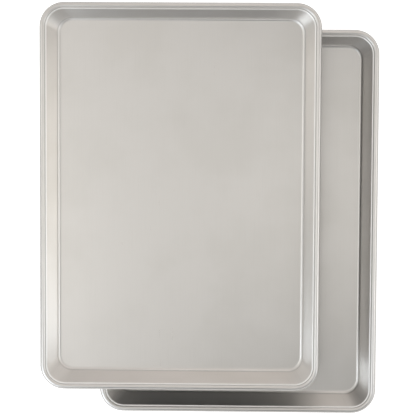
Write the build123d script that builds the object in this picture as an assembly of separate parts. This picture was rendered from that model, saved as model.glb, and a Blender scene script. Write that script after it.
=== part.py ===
"""Two jelly roll pans, one resting across the rims of the other.

Each pan is a tray pressed from one aluminium sheet. The edge of the sheet is
curled round a ring of steel wire, which stiffens the rim.
All lengths are in millimetres. +Z is up, +Y runs along the long sides, and
the origin lies on the table, midway between the centres of the two pans.
"""

from build123d import *
from math import atan2, degrees, hypot, sqrt
import os

# The pan as it is measured with a rule
pan_length = 397.0
pan_width = 286.0
pan_height = 25.4
outline_corner_radius = 25.0

# The pressed tray
sheet_thickness = 1.0
floor_inset = 17.0
floor_corner_radius = 15.0
floor_bend_radius = 4.0
mouth_inset = 6.8
shoulder_bend_radius = 1.5

# The rim, with the sheet curled round its wire
wire_diameter = 3.6
wire_clearance = 0.1
wire_end_gap = 0.5
ledge_drop = 1.2
ledge_lap = 0.4
curl_tail_degrees = 15.0

# How the front pan lies across the back pan
stack_shift_across = 59.5
stack_shift_along = 27.5
rest_gap = 0.3

# Sizes of the rim that follow from the wire
curl_inner_radius = wire_diameter / 2 + wire_clearance
curl_outer_radius = curl_inner_radius + sheet_thickness
wire_height = pan_height - curl_outer_radius
rim_bend_radius = outline_corner_radius - curl_outer_radius

# Where the ledge runs into the curl, measured from the middle of the wire
ledge_height = pan_height - ledge_drop
ledge_top_rise = ledge_height - wire_height
ledge_under_rise = ledge_top_rise - sheet_thickness
groove_reach = sqrt(curl_outer_radius**2 - ledge_top_rise**2)
root_reach = sqrt(curl_inner_radius**2 - ledge_under_rise**2)
shelf_reach = root_reach + ledge_lap

# Slope of the wall, from the floor up to the ledge
wall_run = floor_inset - mouth_inset
wall_rise = ledge_height - sheet_thickness
wall_slant = hypot(wall_run, wall_rise)
mouth_corner_radius = outline_corner_radius - mouth_inset


def outline(inset, corner_radius, height):
    """The pan's rounded rectangle, drawn in by an inset and lying at a height."""
    flat = RectangleRounded(pan_width - 2 * inset, pan_length - 2 * inset, corner_radius)
    return Pos(Z=height) * flat


def wall_outline(height, grow):
    """A level section of the wall's inner face, moved out through the metal by grow."""
    climbed_share = (height - sheet_thickness) / wall_rise
    sideways = grow * wall_slant / wall_rise
    inset = floor_inset - wall_run * climbed_share - sideways
    corner_change = mouth_corner_radius - floor_corner_radius
    corner_radius = floor_corner_radius + corner_change * climbed_share + sideways
    return outline(inset, corner_radius, height)


def bowl_form(floor_outline, mouth_outline):
    """The solid between two level outlines, with flat walls on its sides and round ones at its corners."""
    faces = [floor_outline.face(), mouth_outline.face()]
    for low, high in zip(floor_outline.edges(), mouth_outline.edges()):
        if low.geom_type == GeomType.LINE:
            faces.append(make_face(Polyline(low @ 0, low @ 1, high @ 1, high @ 0, close=True)).face())
        else:
            faces.append(Face.make_surface_from_curves(low, high))
    return Solid(Shell(faces))


def tray_form(grow):
    """The space inside the tray and above its ledge, grown by a thickness of metal."""
    floor_height = sheet_thickness - grow
    shelf_height = ledge_height - grow
    bowl = bowl_form(wall_outline(floor_height, grow), wall_outline(shelf_height, grow))
    bowl = fillet(bowl.edges().group_by(Axis.Z)[0], floor_bend_radius + grow)
    shelf_inset = curl_outer_radius + shelf_reach
    shelf_outline = outline(shelf_inset, outline_corner_radius - shelf_inset, shelf_height)
    shelf = extrude(shelf_outline, sheet_thickness)
    form = bowl + shelf
    return fillet(shoulder_edges(form, shelf_height), shoulder_bend_radius - grow)


def shoulder_edges(form, shelf_height):
    """The loop of edges where the bowl meets the underside of its shelf."""
    undersides = form.faces().filter_by(GeomType.PLANE).filter_by(Axis.Z)
    shelf_underside = min(undersides, key=lambda face: abs(face.center().Z - shelf_height))
    return ShapeList(edge for loop in shelf_underside.inner_wires() for edge in loop.edges())


def rim_centre_line():
    """The closed line that the middle of the wire follows round the pan."""
    return outline(curl_outer_radius, rim_bend_radius, wire_height).face().outer_wire()


def wire_centre_line():
    """The same line cut open in the middle of one long side, where the wire's ends meet."""
    half_width = pan_width / 2 - curl_outer_radius
    half_length = pan_length / 2 - curl_outer_radius
    turning_points = [
        (half_width, wire_end_gap / 2),
        (half_width, half_length),
        (-half_width, half_length),
        (-half_width, -half_length),
        (half_width, -half_length),
        (half_width, -wire_end_gap / 2),
    ]
    return Pos(Z=wire_height) * FilletPolyline(*turning_points, radius=rim_bend_radius)


def section_plane(path):
    """The plane square to the rim where a path starts, with X outward and Y up."""
    outward = (path % 0).cross(Vector(0, 0, 1))
    if outward.dot(path @ 0) < 0:
        outward = -outward
    return Plane(origin=path @ 0, x_dir=outward, z_dir=outward.cross(Vector(0, 0, 1)))


def curl_section():
    """The end of the ledge and the hook of sheet round the wire, as far as its free edge."""
    groove_degrees = degrees(atan2(ledge_top_rise, -groove_reach))
    root_degrees = degrees(atan2(ledge_under_rise, -root_reach))
    tail_degrees = curl_tail_degrees - 180
    outside = CenterArc((0, 0), curl_outer_radius, groove_degrees, tail_degrees - groove_degrees)
    inside = CenterArc((0, 0), curl_inner_radius, root_degrees, tail_degrees - root_degrees)
    free_edge = Line(outside @ 1, inside @ 1)
    lap_reach = shelf_reach + ledge_lap
    ledge_end = Polyline(inside @ 0, (-lap_reach, ledge_under_rise), (-lap_reach, ledge_top_rise), outside @ 0)
    return make_face([outside, free_edge, inside, ledge_end])


def make_shell():
    """One pressed sheet: floor, walls, ledge and the curl round the wire."""
    tray = tray_form(sheet_thickness) - tray_form(0)
    path = rim_centre_line()
    curl = sweep(section_plane(path) * curl_section(), path=path)
    return tray + curl


def make_rim_wire():
    """The stiffening wire, bent round the rim until its two ends almost meet."""
    path = wire_centre_line()
    return sweep(section_plane(path) * Circle(wire_diameter / 2), path=path)


def place_back(piece):
    """Back pan: flat on the table, out to the right and towards the near end."""
    return Pos(stack_shift_across / 2, -stack_shift_along / 2) * piece


def place_front(piece):
    """Front pan: on top of the back pan's rims, out to the left and the far end."""
    lifted = pan_height + rest_gap
    return Pos(-stack_shift_across / 2, stack_shift_along / 2, lifted) * piece


def main():
    """Builds both pans and writes one file for each piece."""
    os.makedirs("parts", exist_ok=True)
    shell = make_shell()
    rim_wire = make_rim_wire()
    pieces = {
        "back_pan_shell": place_back(shell),
        "back_pan_rim_wire": place_back(rim_wire),
        "front_pan_shell": place_front(shell),
        "front_pan_rim_wire": place_front(rim_wire),
    }
    for name, piece in pieces.items():
        export_step(piece, os.path.join("parts", name + ".step"))
        print(name, piece.is_valid, round(piece.volume), len(piece.solids()), len(piece.faces()))


main()
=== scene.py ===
"""Two jelly roll pans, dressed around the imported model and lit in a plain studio.

Each pan is one pressed aluminium sheet, with its edge curled round a steel wire. The
sheets are made here as fine meshes with every bend rounded, and they stand in for the
packed shells. The rim wires stay as they were packed and get their finish.

Sizes of the pans are in millimetres, as on a drawing. Places in the studio are in metres.
"""

import logging
import math
from dataclasses import dataclass, field
from enum import Enum
from typing import Any, Union

import bpy
import numpy as np
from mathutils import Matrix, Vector


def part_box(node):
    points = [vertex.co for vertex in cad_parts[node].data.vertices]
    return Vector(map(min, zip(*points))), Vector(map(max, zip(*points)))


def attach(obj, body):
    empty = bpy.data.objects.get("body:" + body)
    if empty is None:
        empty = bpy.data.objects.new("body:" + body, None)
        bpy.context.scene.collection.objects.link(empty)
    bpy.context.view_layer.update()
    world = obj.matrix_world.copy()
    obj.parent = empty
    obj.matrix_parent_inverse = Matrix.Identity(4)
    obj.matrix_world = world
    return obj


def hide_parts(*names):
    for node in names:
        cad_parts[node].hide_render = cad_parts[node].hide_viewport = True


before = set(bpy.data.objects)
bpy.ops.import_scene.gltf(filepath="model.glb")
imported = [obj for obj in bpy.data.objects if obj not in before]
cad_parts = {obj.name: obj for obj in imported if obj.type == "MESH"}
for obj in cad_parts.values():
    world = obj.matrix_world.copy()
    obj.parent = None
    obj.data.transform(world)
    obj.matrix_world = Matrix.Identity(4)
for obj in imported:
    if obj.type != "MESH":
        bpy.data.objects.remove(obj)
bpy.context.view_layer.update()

MM = 0.001

BODIES = ("back_pan", "front_pan")

Colour = tuple[float, float, float]
Place = tuple[float, float, float]
Point = tuple[float, float]

# Where a soft step gives 0, and where it gives 1
Limits = tuple[float, float]

# How many finer layers a noise has, and how strong they are
Layers = tuple[float, float]

log = logging.getLogger("jelly_roll_pans")


class Slot(Enum):
    """The record's material slots."""

    SHEET = "pan_sheet"
    WIRE = "rim_wire"


class Tint(Enum):
    """The colours of the studio's light."""

    WARM = (1.0, 0.96, 0.9)
    ROSY = (1.0, 0.88, 0.82)
    COOL = (0.85, 0.92, 1.0)


class Mark(Enum):
    """The values that the sheet's mesh carries for its finish, one for each point."""

    LAY = "lay_of_sheet"
    CORNER = "corner"
    WALL = "wall"
    # Where a painted highlight lightens the colour: the shoulder, and a little of the floor bend
    CREST_HIGHLIGHT = "crest"
    # Where the sheet is rougher and painted shade darkens the colour: the creases, the curl and the bead's
    # outer flank
    CREASE_AND_SHADE = "crease"


class Zone(Enum):
    """The stretches of the sheet's section, from the baking surface round to the underside."""

    FLOOR = "floor"
    FLOOR_BEND = "floor bend"
    WALL_FOOT = "foot of the wall"
    WALL = "wall"
    SHOULDER = "shoulder"
    GROOVE = "groove"
    BEAD = "bead"
    FLANK = "outer flank of the bead"
    FREE_EDGE = "free edge"
    HOOK = "inside of the curl"
    UNDER_LEDGE = "under the ledge"
    OUTER_WALL = "outer wall"
    UNDERSIDE = "underside"


# Zones whose corners follow the pan's outline
CURLED = (Zone.GROOVE, Zone.BEAD, Zone.FLANK, Zone.FREE_EDGE, Zone.HOOK, Zone.UNDER_LEDGE)

# How far each zone counts as drawn wall, as a crest with a painted highlight, and as a crease that is rougher
# and darkened with painted shade
ZONE_SHARES = {
    Mark.WALL: {
        Zone.FLOOR_BEND: 0.3,
        Zone.WALL_FOOT: 0.7,
        Zone.WALL: 1.0,
        Zone.SHOULDER: 0.6,
        Zone.BEAD: 0.5,
        Zone.OUTER_WALL: 1.0,
    },
    # Painted highlight along the shoulder and, faintly, the floor bend
    Mark.CREST_HIGHLIGHT: {
        Zone.FLOOR_BEND: 0.1,
        Zone.SHOULDER: 1.0,
    },
    # Rougher, and darkened with painted shade
    Mark.CREASE_AND_SHADE: {
        Zone.FLOOR_BEND: 0.15,
        Zone.WALL_FOOT: 0.45,
        Zone.GROOVE: 1.0,
        Zone.BEAD: 0.1,
        Zone.FLANK: 1.0,
        Zone.HOOK: 1.0,
    },
}

# Directions in the sheet's section, in degrees from the inward one
UP, OUT, DOWN = 90, 180, 270
HALF_TURN, FULL_TURN = 180, 360

# The middle of the values that a noise gives
NOISE_MIDDLE = 0.5

# Sockets of a Mix node that is set to colours
MIX_SHARE, MIX_FIRST, MIX_SECOND, MIX_RESULT = 0, 6, 7, 2

# The rays that see the table top glow: those of the camera and those that metal and glass send on
SHOWING_RAYS = ("Is Camera Ray", "Is Glossy Ray", "Is Transmission Ray")


class Value:
    """A node's output that takes part in sums, so that shader maths reads as plain maths."""

    def __init__(self, bench: "Bench", socket: bpy.types.NodeSocket | None) -> None:
        """Wraps a node's output on its bench, or none for a node without outputs."""
        self.bench = bench
        self.socket = socket

    def _sum(self, operation: str, first: "Term", second: "Term") -> "Value":
        """The result of one operation on numbers, or on vectors where this output is one."""
        kind = "ShaderNodeVectorMath" if self.socket.type == "VECTOR" else "ShaderNodeMath"
        return self.bench.add(kind, {"operation": operation}, {0: first, 1: second})

    def __add__(self, other: "Term") -> "Value":
        """This plus the other."""
        return self._sum("ADD", self, other)

    def __radd__(self, other: "Term") -> "Value":
        """The other plus this."""
        return self._sum("ADD", other, self)

    def __sub__(self, other: "Term") -> "Value":
        """This less the other."""
        return self._sum("SUBTRACT", self, other)

    def __rsub__(self, other: "Term") -> "Value":
        """The other less this."""
        return self._sum("SUBTRACT", other, self)

    def __mul__(self, other: "Term") -> "Value":
        """This times the other."""
        return self._sum("MULTIPLY", self, other)

    def __rmul__(self, other: "Term") -> "Value":
        """The other times this."""
        return self._sum("MULTIPLY", other, self)

    def between(self, low: float, high: float) -> "Value":
        """A soft step: 0 up to low, 1 from high on. With high under low it falls instead.

        Args:
            low: the value that gives 0.
            high: the value that gives 1.

        Returns:
            A share from 0 to 1.
        """
        if high < low:
            return 1 - self.between(high, low)
        limits = {"Value": self, "From Min": low, "From Max": high}
        return self.bench.add("ShaderNodeMapRange", {"interpolation_type": "SMOOTHSTEP"}, limits)


Term = Union[Value, float, tuple]


class Bench:
    """A node tree, with one way to set up any node in it."""

    def __init__(self, tree: bpy.types.NodeTree) -> None:
        """Starts from the emptied tree of a material or of the world."""
        self.tree = tree
        tree.nodes.clear()

    def add(self, kind: str, settings: dict[str, Any] | None = None,
            sockets: dict[int | str, Any] | None = None, output: int | str = 0) -> Value:
        """Adds a node: its settings first, then its sockets.

        Args:
            kind: the node's type.
            settings: its properties, such as a Math node's operation.
            sockets: a value or another node's output for each input that is named or counted.
            output: the output that is wanted.

        Returns:
            That output.
        """
        node = self.tree.nodes.new(kind)
        for name, setting in (settings or {}).items():
            setattr(node, name, setting)
        for name, term in (sockets or {}).items():
            self._plug(node.inputs[name], term)
        return Value(self, node.outputs[output] if node.outputs else None)

    def _plug(self, socket: bpy.types.NodeSocket, term: Term) -> None:
        """Links an output to a socket, or sets the socket's value.

        Args:
            socket: the input.
            term: an output, a number, a colour or a vector.
        """
        if isinstance(term, Value):
            self.tree.links.new(term.socket, socket)
        elif socket.type == "RGBA":
            socket.default_value = (*term, 1.0)
        elif socket.type == "VECTOR" and not isinstance(term, tuple):
            socket.default_value = (term, term, term)
        else:
            socket.default_value = term

    def carried(self, mark: Mark) -> Value:
        """One of the values that the mesh carries."""
        output = "Vector" if mark is Mark.LAY else "Fac"
        return self.add("ShaderNodeAttribute", {"attribute_name": mark.value}, output=output)

    def place(self) -> Value:
        """The point's place in the object's own frame, in metres."""
        return self.add("ShaderNodeTexCoord", output="Object")

    def noise(self, where: Value, layers: Layers) -> Value:
        """Soft random hills, one unit apart, about 0.5.

        Args:
            where: the coordinates, already scaled.
            layers: how many finer layers are added, and how strong they are.

        Returns:
            A number from 0 to 1.
        """
        detail, strength = layers
        sockets = {"Vector": where, "Scale": 1.0, "Detail": detail, "Roughness": strength}
        return self.add("ShaderNodeTexNoise", {}, sockets)

    def tint(self, first: Term, second: Term, share: Term) -> Value:
        """A mix of two colours, from the first at a share of 0 to the second at 1."""
        sockets = {MIX_SHARE: share, MIX_FIRST: first, MIX_SECOND: second}
        return self.add("ShaderNodeMix", {"data_type": "RGBA"}, sockets, output=MIX_RESULT)

    def relief(self, height: Value, depth: float) -> Value:
        """The normal of a surface with this relief, where a height of 1 is the depth in metres."""
        return self.add("ShaderNodeBump", {}, {"Strength": 1.0, "Distance": depth, "Height": height})

    def finish(self, shader: Value, kind: str = "ShaderNodeOutputMaterial") -> None:
        """Links a shader to the tree's output."""
        self.add(kind, {}, {"Surface": shader})


def new_material(name: str) -> tuple[bpy.types.Material, Bench]:
    """Starts a material.

    Args:
        name: its name.

    Returns:
        The material, and an empty bench for its nodes.
    """
    material = bpy.data.materials.new(name)
    material.use_nodes = True
    return material, Bench(material.node_tree)


@dataclass(frozen=True)
class SatinAluminium:
    """Uncoated rolled sheet: warm grey, with rolling lines and press marks, a painted highlight on the
    shoulders and painted shade in the creases, the curl and the bead's outer flank.
    """

    name: str = "satin_aluminium"
    plain: Colour = (0.80, 0.785, 0.765)
    clouded: Colour = (0.77, 0.755, 0.73)
    # Colour of the painted highlight on the crests
    painted_highlight: Colour = (0.97, 0.965, 0.955)
    # Colour of the painted shade in the creases, the curl and the bead's outer flank, and of the darker grain
    dark_grain_and_painted_shade: Colour = (0.46, 0.45, 0.43)
    metal: float = 0.93
    roughness: float = 0.295
    crease_roughness: float = 0.15
    corner_roughness: float = 0.17
    uneven_roughness: float = 0.06
    cloud_limits: Limits = (0.4, 0.7)
    grain_limits: Limits = (0.45, 0.8)
    grain_colour: float = 0.05
    peel_share: float = 0.3
    relief_depth: float = 0.0012 * MM
    line_spacing: float = 0.7 * MM
    line_length: float = 60 * MM
    streak_spacing: float = 1.3 * MM
    streak_length: float = 90 * MM
    pull_spacing: float = 2.2 * MM
    pull_length: float = 22 * MM
    cloud_width: float = 70 * MM
    peel_width: float = 0.5 * MM
    grain_layers: Layers = (3.0, 0.6)
    pull_layers: Layers = (2.0, 0.5)
    cloud_layers: Layers = (3.0, 0.55)
    peel_layers: Layers = (1.0, 0.5)

    def material(self) -> bpy.types.Material:
        """Sets up the nodes of the finish.

        Returns:
            The material.
        """
        material, bench = new_material(self.name)
        lay = bench.carried(Mark.LAY)
        lines = self._rolling_lines(bench)
        streaks = self._wall_streaks(bench, lay)
        pulls = self._corner_pulls(bench, lay)
        clouds = bench.noise(bench.place() * (1 / self.cloud_width), self.cloud_layers)
        corner = bench.carried(Mark.CORNER)
        wall = bench.carried(Mark.WALL)
        grain = lines * (1 - wall) + (streaks * (1 - corner) + pulls * corner) * wall
        shader = bench.add("ShaderNodeBsdfPrincipled", {}, {
            "Base Color": self._colour(bench, clouds, grain),
            "Metallic": self.metal,
            "Roughness": self._roughness(bench, clouds, grain, wall, corner),
            "Normal": self._relief(bench, grain, wall),
        })
        bench.finish(shader)
        return material

    def _rolling_lines(self, bench: Bench) -> Value:
        """Fine lines from the rolling mill, along the pan."""
        stretch = (1 / self.line_spacing, 1 / self.line_length, 1 / self.line_spacing)
        return bench.noise(bench.place() * stretch, self.grain_layers)

    def _wall_streaks(self, bench: Bench, lay: Value) -> Value:
        """Streaks that the press leaves along the walls."""
        stretch = (1 / self.streak_length, 1 / self.streak_length, 1 / self.streak_spacing)
        return bench.noise(lay * stretch, self.grain_layers)

    def _corner_pulls(self, bench: Bench, lay: Value) -> Value:
        """Marks down the corners, where the sheet was drawn in."""
        stretch = (1 / self.pull_spacing, 1 / self.pull_spacing, 1 / self.pull_length)
        return bench.noise(lay * stretch, self.pull_layers)

    def _colour(self, bench: Bench, clouds: Value, grain: Value) -> Value:
        """Cloudy metal, lightened by a painted highlight on its crests and darkened by painted shade in its
        creases, its curl and the bead's outer flank.

        Args:
            bench: the material's bench.
            clouds: the soft clouds, from 0 to 1.
            grain: the lines and streaks, from 0 to 1.

        Returns:
            The colour.
        """
        clouded = bench.tint(self.plain, self.clouded, clouds.between(*self.cloud_limits))
        # Painted highlight on the crests
        painted_highlight = bench.tint(clouded, self.painted_highlight, bench.carried(Mark.CREST_HIGHLIGHT))
        # Painted shade in the creases, the curl and the bead's outer flank
        with_painted_shade = bench.tint(painted_highlight, self.dark_grain_and_painted_shade, bench.carried(Mark.CREASE_AND_SHADE))
        return bench.tint(with_painted_shade, self.dark_grain_and_painted_shade, grain.between(*self.grain_limits) * self.grain_colour)

    def _roughness(self, bench: Bench, clouds: Value, grain: Value, wall: Value, corner: Value) -> Value:
        """Satin, duller in the creases and where the corners were drawn in.

        Args:
            bench: the material's bench.
            clouds: the soft clouds, from 0 to 1.
            grain: the lines and streaks, from 0 to 1.
            wall: how far the point counts as drawn wall.
            corner: how far it belongs to a corner.

        Returns:
            The roughness.
        """
        worn = bench.carried(Mark.CREASE_AND_SHADE) * self.crease_roughness
        drawn = corner * wall * self.corner_roughness
        cloudy = (clouds - NOISE_MIDDLE) * self.uneven_roughness
        return self.roughness + worn + drawn + cloudy + (grain - NOISE_MIDDLE) * self.uneven_roughness

    def _relief(self, bench: Bench, grain: Value, wall: Value) -> Value:
        """The lines and streaks as relief, with a faint orange peel."""
        peel = bench.noise(bench.place() * (1 / self.peel_width), self.peel_layers)
        return bench.relief(grain * (1 + wall) + peel * self.peel_share, self.relief_depth)


@dataclass(frozen=True)
class ZincedWire:
    """Galvanised steel wire: grey zinc with soft spangles and faint drawing lines."""

    name: str = "zinced_wire"
    zinc: Colour = (0.60, 0.61, 0.62)
    spangle: Colour = (0.70, 0.71, 0.72)
    spangle_width: float = 4 * MM
    spangle_limits: Limits = (0.2, 0.6)
    metal: float = 1.0
    roughness: float = 0.42
    uneven_roughness: float = 0.2
    bloom_width: float = 8 * MM
    bloom_layers: Layers = (4.0, 0.6)
    relief_depth: float = 0.02 * MM

    def material(self) -> bpy.types.Material:
        """Sets up the nodes of the finish.

        Returns:
            The material.
        """
        material, bench = new_material(self.name)
        where = bench.place()
        spangles = bench.add("ShaderNodeTexVoronoi", {}, {"Vector": where, "Scale": 1 / self.spangle_width})
        bloom = bench.noise(where * (1 / self.bloom_width), self.bloom_layers)
        shader = bench.add("ShaderNodeBsdfPrincipled", {}, {
            "Base Color": bench.tint(self.zinc, self.spangle, spangles.between(*self.spangle_limits)),
            "Metallic": self.metal,
            "Roughness": self.roughness + (bloom - NOISE_MIDDLE) * self.uneven_roughness,
            "Normal": bench.relief(bloom, self.relief_depth),
        })
        bench.finish(shader)
        return material


@dataclass(frozen=True)
class PaleTable:
    """The white table top, which keeps the pans' shadow and reads as white elsewhere."""

    name: str = "pale_table"
    paint: Colour = (0.80, 0.80, 0.80)
    light: Colour = (1.0, 1.0, 1.0)
    glow: float = 0.67

    def material(self) -> bpy.types.Material:
        """Sets up the nodes of the finish.

        Returns:
            The material.
        """
        material, bench = new_material(self.name)
        paint = bench.add("ShaderNodeBsdfDiffuse", {}, {"Color": self.paint})
        shown = sum(bench.add("ShaderNodeLightPath", output=ray) for ray in SHOWING_RAYS)
        glow = bench.add("ShaderNodeEmission", {}, {"Color": self.light, "Strength": shown * self.glow})
        bench.finish(bench.add("ShaderNodeAddShader", {}, {0: paint, 1: glow}))
        return material


@dataclass(frozen=True)
class PanSizes:
    """One pan as it is measured with a rule, and what follows from that, in millimetres."""

    width: float
    length: float
    height: float
    outline_corner: float = 25.0
    sheet: float = 1.0
    floor_inset: float = 17.0
    floor_corner: float = 15.0
    floor_bend: float = 4.0
    mouth_inset: float = 6.8
    shoulder_bend: float = 1.2
    wire: float = 3.6
    wire_clearance: float = 0.1
    ledge_drop: float = 1.2
    curl_tail: float = 15.0
    groove_blend: float = 0.25

    @property
    def curl_inner(self) -> float:
        """Radius of the curl's inside."""
        return self.wire / 2 + self.wire_clearance

    @property
    def curl_outer(self) -> float:
        """Radius of the curl's outside."""
        return self.curl_inner + self.sheet

    @property
    def ledge_height(self) -> float:
        """Height of the ledge's upper face."""
        return self.height - self.ledge_drop

    @property
    def wall_run(self) -> float:
        """How far the wall leans out."""
        return self.floor_inset - self.mouth_inset

    @property
    def wall_rise(self) -> float:
        """How far the wall climbs."""
        return self.ledge_height - self.sheet

    @property
    def lean(self) -> float:
        """The wall's lean from upright, in degrees."""
        return math.degrees(math.atan2(self.wall_run, self.wall_rise))

    @property
    def curl_centre(self) -> Point:
        """The middle of the wire, as inset and height."""
        return self.curl_outer, self.height - self.curl_outer

    def wall_inset(self, height: float) -> float:
        """How far in from the pan's outline the wall's inner face lies at a height."""
        return self.floor_inset - self.wall_run * (height - self.sheet) / self.wall_rise

    def wall_corner(self, height: float) -> float:
        """The corner radius of the wall's inner face at a height."""
        mouth_corner = self.outline_corner - self.mouth_inset
        return self.floor_corner + (mouth_corner - self.floor_corner) * (height - self.sheet) / self.wall_rise

    def corner_radius(self, inset: float, height: float, curled: bool) -> float:
        """The corner radius of the ring at a point of the section.

        Args:
            inset: how far in from the pan's outline the point lies.
            height: its height.
            curled: whether it belongs to the ledge or the curl, which follow the outline.

        Returns:
            The radius.
        """
        if curled:
            return self.outline_corner - inset
        return self.wall_corner(height) - (inset - self.wall_inset(height))


@dataclass(frozen=True)
class Station:
    """One point of the sheet's section, which becomes one ring round the pan."""

    inset: float
    height: float
    zone: Zone


def arc(centre: Point, radius: float, start: float, end: float, steps: int) -> list[Point]:
    """Points along an arc of the section.

    Args:
        centre: its middle, as inset and height.
        radius: its radius.
        start: where it starts, in degrees from the inward direction, rising anticlockwise.
        end: where it ends.
        steps: how many steps it takes.

    Returns:
        The points, both ends included.
    """
    turns = np.radians(np.linspace(start, end, steps + 1))
    return [(centre[0] + radius * math.cos(turn), centre[1] + radius * math.sin(turn)) for turn in turns]


def run(start: Point, end: Point, steps: int, guard: float) -> list[Point]:
    """Points along a straight stretch of the section, without its ends.

    Args:
        start: where it starts.
        end: where it ends.
        steps: how many even steps it takes.
        guard: how far from each end an extra point lies, which keeps the shading of the bends there.

    Returns:
        The points between the ends.
    """
    length = math.dist(start, end)
    near = guard / length
    shares = [near, *np.linspace(0, 1, steps + 1)[1:-1], 1 - near]
    return [tuple(a + (b - a) * share for a, b in zip(start, end)) for share in shares]


@dataclass(frozen=True)
class Section:
    """The sheet cut square to the rim, as a row of stations."""

    sizes: PanSizes
    bend_steps: int = 12
    foot_steps: int = 8
    bead_steps: int = 44
    crown_steps: int = 15
    hook_steps: int = 26
    groove_steps: int = 5
    edge_steps: int = 8
    wall_steps: int = 9
    guard: float = 0.25
    floor_margin: float = 3.0

    def stations(self) -> list[Station]:
        """All stations, from the edge of the baking surface over the rim to the underside."""
        stretches = [*self._inside(), *self._curl(), *self._outside()]
        return [Station(inset, height, zone) for zone, points in stretches for inset, height in points]

    def _bend_centre(self, height: float, radius: float) -> Point:
        """The middle of a bend on the wall's inner face, outward of it where the radius is under 0."""
        return self.sizes.wall_inset(height) + radius / math.cos(math.radians(self.sizes.lean)), height

    def _inside(self) -> list[tuple[Zone, list[Point]]]:
        """The baking surface's side of the section.

        Returns:
            The floor, its bend, the foot of the wall, the wall and the shoulder, each with its points.
        """
        sizes = self.sizes
        floor_centre = self._bend_centre(sizes.sheet + sizes.floor_bend, sizes.floor_bend)
        shoulder_centre = self._bend_centre(sizes.ledge_height - sizes.shoulder_bend, -sizes.shoulder_bend)
        bend = arc(floor_centre, sizes.floor_bend, DOWN, OUT + sizes.lean, self.bend_steps)
        shoulder = arc(shoulder_centre, sizes.shoulder_bend, sizes.lean, UP, self.bend_steps)
        floor = [(bend[0][0] + gap, sizes.sheet) for gap in (self.floor_margin, self.guard)]
        return [
            (Zone.FLOOR, floor),
            (Zone.FLOOR_BEND, bend[:self.foot_steps]),
            (Zone.WALL_FOOT, bend[self.foot_steps:]),
            (Zone.WALL, run(bend[-1], shoulder[0], self.wall_steps, self.guard)),
            (Zone.SHOULDER, shoulder),
        ]

    def _curl(self) -> list[tuple[Zone, list[Point]]]:
        """The curled rim.

        Returns:
            The groove, the bead, its outer flank, the free edge and the curl's inside, each with its points.
        """
        sizes = self.sizes
        inset, height = sizes.curl_centre
        blend = sizes.groove_blend
        drop = sizes.ledge_height + blend - height
        reach = math.sqrt((sizes.curl_outer + blend) ** 2 - drop**2)
        rise = math.degrees(math.atan2(drop, reach))
        middle = (sizes.curl_inner + sizes.curl_outer) / 2
        tail = FULL_TURN - sizes.curl_tail - math.degrees(sizes.sheet / 2 / middle)
        turn = math.radians(tail)
        tip = (inset + middle * math.cos(turn), height + middle * math.sin(turn))
        root = math.degrees(math.asin((sizes.ledge_height - sizes.sheet - height) / sizes.curl_inner))
        groove_centre = (inset + reach, sizes.ledge_height + blend)
        bead = arc(sizes.curl_centre, sizes.curl_outer, rise, tail, self.bead_steps)
        return [
            (Zone.GROOVE, arc(groove_centre, blend, DOWN, OUT + rise, self.groove_steps)),
            (Zone.BEAD, bead[1:self.crown_steps]),
            (Zone.FLANK, bead[self.crown_steps:]),
            (Zone.FREE_EDGE, arc(tip, sizes.sheet / 2, tail, tail + HALF_TURN, self.edge_steps)[1:-1]),
            (Zone.HOOK, arc(sizes.curl_centre, sizes.curl_inner, tail, root, self.hook_steps)),
        ]

    def _outside(self) -> list[tuple[Zone, list[Point]]]:
        """The side of the section that faces out and down.

        Returns:
            The bend under the ledge, the outer wall with its bend and the underside, each with its points.
        """
        sizes = self.sizes
        inner_bend = sizes.shoulder_bend - sizes.sheet
        outer_bend = sizes.floor_bend + sizes.sheet
        shoulder_centre = self._bend_centre(sizes.ledge_height - sizes.shoulder_bend, -sizes.shoulder_bend)
        floor_centre = self._bend_centre(sizes.sheet + sizes.floor_bend, sizes.floor_bend)
        shoulder = arc(shoulder_centre, inner_bend, UP, sizes.lean, self.bend_steps // 2)
        bend = arc(floor_centre, outer_bend, OUT + sizes.lean, DOWN, self.bend_steps)
        floor = [(bend[-1][0] + gap, 0.0) for gap in (self.guard, self.floor_margin)]
        return [
            (Zone.UNDER_LEDGE, shoulder),
            (Zone.OUTER_WALL, run(shoulder[-1], bend[0], self.wall_steps, self.guard) + bend),
            (Zone.UNDERSIDE, floor),
        ]


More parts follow.
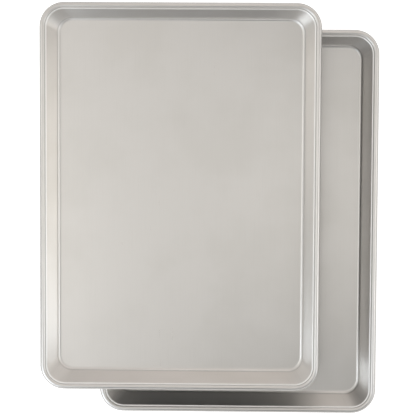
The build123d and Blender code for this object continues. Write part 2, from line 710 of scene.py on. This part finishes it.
@dataclass(frozen=True)
class RingPlan:
    """How each ring's points are shared out over its four corners and four sides."""

    corner_steps: int = 24
    short_steps: int = 17
    long_steps: int = 25
    fade_steps: int = 3

    def side_steps(self) -> list[int]:
        """Steps along the side after each corner, from the far one round to the right one."""
        return [self.short_steps, self.long_steps, self.short_steps, self.long_steps]

    def points(self, half_width: float, half_length: float, radius: float) -> np.ndarray:
        """A rounded rectangle, from the far end of its right side round anticlockwise.

        Args:
            half_width: half its size along X.
            half_length: half its size along Y.
            radius: its corner radius.

        Returns:
            One row of X and Y for each point.
        """
        corners = []
        turns = np.linspace(0, math.pi / 2, self.corner_steps + 1)
        corner = radius * np.column_stack([np.cos(turns), np.sin(turns)])
        for across, along in ((1, 1), (-1, 1), (-1, -1), (1, -1)):
            middle = (across * (half_width - radius), along * (half_length - radius))
            corners.append(corner + middle)
            corner = np.column_stack([-corner[:, 1], corner[:, 0]])
        rows = []
        for quarter, steps in enumerate(self.side_steps()):
            start, end = corners[quarter][-1], corners[(quarter + 1) % 4][0]
            shares = np.linspace(0, 1, steps + 1)[1:-1, None]
            rows += [corners[quarter], start + (end - start) * shares]
        return np.vstack(rows)

    def cornering(self) -> np.ndarray:
        """How far each point of a ring belongs to a corner.

        Returns:
            A share for each point: 1 round the corner, falling off along the sides.
        """
        shares = []
        for steps in self.side_steps():
            nearest = np.minimum(np.arange(1, steps), np.arange(steps - 1, 0, -1))
            shares.append(np.ones(self.corner_steps + 1))
            shares.append(np.clip(1 - nearest / self.fade_steps, 0, 1) ** 2)
        return np.concatenate(shares)

    def corner_middles(self) -> list[int]:
        """Finds the middle of each corner.

        Returns:
            The place in the ring's row of the point in the middle of each corner.
        """
        middles, at = [], 0
        for steps in self.side_steps():
            middles.append(at + self.corner_steps // 2)
            at += self.corner_steps + steps
        return middles


@dataclass
class PressedSheet:
    """A pan's shell: floor, walls, ledge and curled rim, all one sheet."""

    body: str
    node: str
    rings: RingPlan = field(default_factory=RingPlan)

    def __post_init__(self) -> None:
        """Takes the pan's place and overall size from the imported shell."""
        low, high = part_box(self.node)
        size = (high - low) / MM
        self.sizes = PanSizes(size.x, size.y, size.z)
        self.centre = Vector(((low.x + high.x) / 2, (low.y + high.y) / 2, low.z))
        self.stations = Section(self.sizes).stations()

    def build(self) -> bpy.types.Object:
        """Makes the sheet's mesh, with the values that its finish needs.

        Returns:
            The bare piece.
        """
        points, faces = self._strip()
        for ring, upward in ((0, True), (len(self.stations) - 1, False)):
            self._close(points, faces, ring, upward)
        mesh = bpy.data.meshes.new(self.name)
        mesh.from_pydata(np.array(points) * MM + np.array(self.centre), [], faces)
        mesh.validate()
        mesh.shade_smooth()
        self._carry_marks(mesh)
        piece = bpy.data.objects.new(self.name, mesh)
        bpy.context.scene.collection.objects.link(piece)
        return piece

    @property
    def name(self) -> str:
        """The piece's name."""
        return self.body + "_pressed_sheet"

    def dress(self, piece: bpy.types.Object, material: bpy.types.Material) -> None:
        """Gives the sheet its finish and its place in the model.

        Args:
            piece: the bare piece.
            material: its finish.
        """
        piece.data.materials.append(material)
        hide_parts(self.node)
        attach(piece, self.body)

    def _ring(self, station: Station) -> np.ndarray:
        """One ring round the pan.

        Args:
            station: the point of the section that the ring goes through.

        Returns:
            The ring's points, in millimetres from the pan's middle.
        """
        sizes = self.sizes
        curled = station.zone in CURLED
        radius = sizes.corner_radius(station.inset, station.height, curled)
        half_width, half_length = sizes.width / 2 - station.inset, sizes.length / 2 - station.inset
        flat = self.rings.points(half_width, half_length, radius)
        return np.column_stack([flat, np.full(len(flat), station.height)])

    def _strip(self) -> tuple[list[np.ndarray], list[tuple[int, ...]]]:
        """The rings and the faces between them.

        Returns:
            The points, ring by ring, and the faces.
        """
        points = [point for station in self.stations for point in self._ring(station)]
        count = len(points) // len(self.stations)
        faces = []
        for ring in range(len(self.stations) - 1):
            for step in range(count):
                after = (step + 1) % count
                lower, upper = ring * count, (ring + 1) * count
                faces.append((lower + step, upper + step, upper + after, lower + after))
        return points, faces

    def _close(self, points: list, faces: list, ring: int, upward: bool) -> None:
        """Fills an end ring with an even net of faces, which makes the floor or the underside.

        Args:
            points: the mesh's points, to which the net's own are added.
            faces: the mesh's faces, to which the net's are added.
            ring: the ring that the net fills.
            upward: whether the net faces up.
        """
        count = len(self.rings.cornering())
        first = ring * count
        far_right, far_left, near_left, near_right = self.rings.corner_middles()
        far = [first + at for at in range(far_right, far_left + 1)]
        left = [first + at for at in range(far_left, near_left + 1)]
        near = [first + at for at in range(near_left, near_right + 1)]
        right = [first + at % count for at in range(near_right, far_right + count + 1)]
        near.reverse()
        right.reverse()
        columns, rows = len(far) - 1, len(left) - 1
        net = np.zeros((columns + 1, rows + 1), int)
        net[:, 0], net[:, rows], net[0, :], net[columns, :] = far, near, right, left
        rim = np.array([points[at] for at in range(first, first + count)])
        spot = {first + at: rim[at] for at in range(count)}
        for column in range(1, columns):
            for row in range(1, rows):
                u, v = column / columns, row / rows
                sides = (1 - v) * spot[far[column]] + v * spot[near[column]]
                sides = sides + (1 - u) * spot[right[row]] + u * spot[left[row]]
                corners = (1 - u) * (1 - v) * spot[far[0]] + u * (1 - v) * spot[far[-1]]
                corners = corners + (1 - u) * v * spot[near[0]] + u * v * spot[near[-1]]
                net[column, row] = len(points)
                points.append(sides - corners)
        for column in range(columns):
            for row in range(rows):
                first_side, second_side = net[column:column + 2, row], net[column:column + 2, row + 1]
                corners = [*first_side, *reversed(second_side)]
                faces.append(tuple(int(at) for at in (corners if upward else reversed(corners))))

    def _carry_marks(self, mesh: bpy.types.Mesh) -> None:
        """Stores on the mesh what the finish needs to know of each point.

        Args:
            mesh: the sheet's mesh.
        """
        total = len(mesh.vertices)
        for mark, values in self._ring_marks().items():
            kind, key = ("FLOAT_VECTOR", "vector") if mark is Mark.LAY else ("FLOAT", "value")
            whole = np.zeros((total, values.shape[-1])) if mark is Mark.LAY else np.zeros(total)
            whole[: len(values)] = values
            mesh.attributes.new(mark.value, kind, "POINT").data.foreach_set(key, whole.ravel())

    def _ring_marks(self) -> dict[Mark, np.ndarray]:
        """Works out what the finish needs to know of the rings.

        Returns:
            For each mark its value at every ring point, ring by ring.
        """
        outline = self.rings.points(self.sizes.width / 2, self.sizes.length / 2, self.sizes.outline_corner)
        steps = np.linalg.norm(np.diff(np.vstack([outline, outline[:1]]), axis=0), axis=1)
        around = np.concatenate([[0], np.cumsum(steps)])
        reach = around[-1] / (2 * math.pi)
        turns = around[:-1] / reach
        path = [0.0]
        for before, after in zip(self.stations, self.stations[1:]):
            path.append(path[-1] + math.dist((before.inset, before.height), (after.inset, after.height)))
        rings, count = len(self.stations), len(turns)
        lay = np.zeros((rings, count, 3))
        lay[:, :, 0] = reach * np.cos(turns)
        lay[:, :, 1] = reach * np.sin(turns)
        lay[:, :, 2] = np.array(path)[:, None]
        marks = {mark: self._per_station(shares) for mark, shares in ZONE_SHARES.items()}
        marks[Mark.LAY] = lay.reshape(-1, 3) * MM
        marks[Mark.CORNER] = np.tile(self.rings.cornering(), rings)
        return marks

    def _per_station(self, shares: dict[Zone, float]) -> np.ndarray:
        """One value for each ring point, from the zone that its station is in."""
        values = [shares.get(station.zone, 0.0) for station in self.stations]
        return np.repeat(values, len(self.rings.cornering()))


@dataclass
class RimWire:
    """The steel wire in a pan's curled rim."""

    node: str

    def dress(self, material: bpy.types.Material) -> bpy.types.Object:
        """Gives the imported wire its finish.

        Args:
            material: the finish.

        Returns:
            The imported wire.
        """
        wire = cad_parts[self.node]
        wire.data.materials.clear()
        wire.data.materials.append(material)
        return wire


@dataclass
class Pan:
    """One pan: its pressed sheet and the wire in its rim."""

    body: str

    def build(self, sheet_material: bpy.types.Material, wire_material: bpy.types.Material) -> None:
        """Builds the sheet and dresses both pieces.

        Args:
            sheet_material: the finish of the pressed sheet.
            wire_material: the finish of the rim wire.
        """
        sheet = PressedSheet(self.body, self.body + "_shell")
        piece = sheet.build()
        sheet.dress(piece, sheet_material)
        log.info("%s: %d faces, finish %s", piece.name, len(piece.data.polygons), sheet_material.name)
        wire = RimWire(self.body + "_rim_wire").dress(wire_material)
        log.info("%s: finish %s", wire.name, wire_material.name)


@dataclass(frozen=True)
class Softbox:
    """A soft lamp with a rectangular face."""

    name: str
    place: Place
    width: float
    depth: float
    glow: float
    tint: Tint
    aim: Place = (0.0, 0.0, 0.0)

    def hang(self) -> bpy.types.Object:
        """Hangs the lamp, hidden from the camera.

        Returns:
            The lamp.
        """
        light = bpy.data.lights.new(self.name, "AREA")
        light.shape = "RECTANGLE"
        light.size, light.size_y = self.width, self.depth
        light.color = self.tint.value
        light.energy = self.glow * math.pi * self.width * self.depth
        lamp = bpy.data.objects.new(self.name, light)
        lamp.location = self.place
        lamp.rotation_euler = (Vector(self.aim) - Vector(self.place)).to_track_quat("-Z", "Y").to_euler()
        lamp.visible_camera = False
        bpy.context.scene.collection.objects.link(lamp)
        return lamp


@dataclass(frozen=True)
class Studio:
    """The table, the room's own light, the lamps and the camera."""

    table_reach: float = 8.0
    ceiling: Colour = (0.28, 0.28, 0.275)
    horizon: Colour = (1.0, 0.98, 0.96)
    near_side: Colour = (0.16, 0.16, 0.16)
    band_foot: Limits = (0.08, 0.2)
    band_top: Limits = (0.5, 0.35)
    near_limits: Limits = (-0.2, -0.6)
    lens: float = 203.0
    sensor: float = 36.0
    camera_place: Place = (0.05865, 0.26135, 2.4257)
    camera_tilts: Place = (-6.19, 1.43, 0.44)

    def softboxes(self) -> list[Softbox]:
        """Lists the lamps, each named for where it hangs as the camera sees the pans.

        Returns:
            The lamps.
        """
        return [
            Softbox("overhead_left", (-0.3, -0.1, 1.3), 0.6, 0.9, 0.44, Tint.WARM, (-0.3, -0.1, 0.0)),
            Softbox("overhead_right", (0.25, -0.1, 1.3), 0.7, 0.5, 0.56, Tint.WARM, (0.25, -0.1, 0.0)),
            Softbox("high_left", (-0.6, -0.2, 1.26), 0.5, 0.5, 0.9, Tint.WARM),
            Softbox("right", (0.96, -0.13, 0.87), 0.5, 0.5, 1.65, Tint.WARM),
            Softbox("near_right", (0.86, -0.44, 0.87), 0.35, 0.5, 1.8, Tint.COOL),
            Softbox("far_right", (0.72, 0.65, 0.87), 0.9, 0.5, 0.75, Tint.ROSY),
            Softbox("far", (0.08, 0.96, 0.87), 0.8, 0.5, 0.6, Tint.ROSY),
            Softbox("high_far", (-0.05, 0.6, 1.22), 0.9, 0.4, 0.6, Tint.ROSY),
            Softbox("far_left", (-0.74, 0.62, 0.87), 0.7, 0.5, 0.4, Tint.ROSY),
            Softbox("left", (-0.84, 0.11, 0.99), 0.45, 0.5, 1.1, Tint.WARM),
            Softbox("near_left", (-0.70, -0.67, 0.87), 0.6, 0.6, 3.4, Tint.COOL),
        ]

    def light(self) -> None:
        """Hangs the lamps and sets the room's own light: dim, dimmer on the near side, bright low down."""
        for softbox in self.softboxes():
            softbox.hang()
        world = bpy.data.worlds.new("studio")
        world.use_nodes = True
        bpy.context.scene.world = world
        bench = Bench(world.node_tree)
        where = bench.add("ShaderNodeTexCoord", output="Generated")
        height = bench.add("ShaderNodeSeparateXYZ", {}, {0: where}, "Z")
        depth = bench.add("ShaderNodeSeparateXYZ", {}, {0: where}, "Y")
        band = height.between(*self.band_foot) * height.between(*self.band_top)
        above = bench.tint(self.ceiling, self.near_side, depth.between(*self.near_limits))
        room = bench.add("ShaderNodeBackground", {}, {"Color": bench.tint(above, self.horizon, band)})
        bench.finish(room, "ShaderNodeOutputWorld")

    def lay_table(self) -> bpy.types.Object:
        """Lays the table top under the pans.

        Returns:
            The table top.
        """
        reach = self.table_reach
        corners = [(-reach, -reach, 0), (reach, -reach, 0), (reach, reach, 0), (-reach, reach, 0)]
        mesh = bpy.data.meshes.new("table_top")
        mesh.from_pydata(corners, [], [(0, 1, 2, 3)])
        mesh.materials.append(PaleTable().material())
        table = bpy.data.objects.new("table_top", mesh)
        bpy.context.scene.collection.objects.link(table)
        return table

    def set_camera(self) -> bpy.types.Object:
        """Sets the camera where the photograph was taken from.

        Returns:
            The camera.
        """
        data = bpy.data.cameras.new("camera")
        data.lens = self.lens
        data.sensor_width = self.sensor
        camera = bpy.data.objects.new("camera", data)
        camera.location = self.camera_place
        camera.rotation_mode = "ZYX"
        camera.rotation_euler = [math.radians(tilt) for tilt in self.camera_tilts]
        bpy.context.scene.collection.objects.link(camera)
        bpy.context.scene.camera = camera
        return camera


def main() -> None:
    """Builds the pans and the studio, and reports each piece."""
    logging.basicConfig(level=logging.INFO, format="%(name)s: %(message)s")
    sheet_material, wire_material = SatinAluminium().material(), ZincedWire().material()
    for body in BODIES:
        Pan(body).build(sheet_material, wire_material)
    studio = Studio()
    studio.lay_table()
    studio.light()
    studio.set_camera()
    bpy.context.scene.view_settings.view_transform = "Standard"


if __name__ == "__main__":
    main()
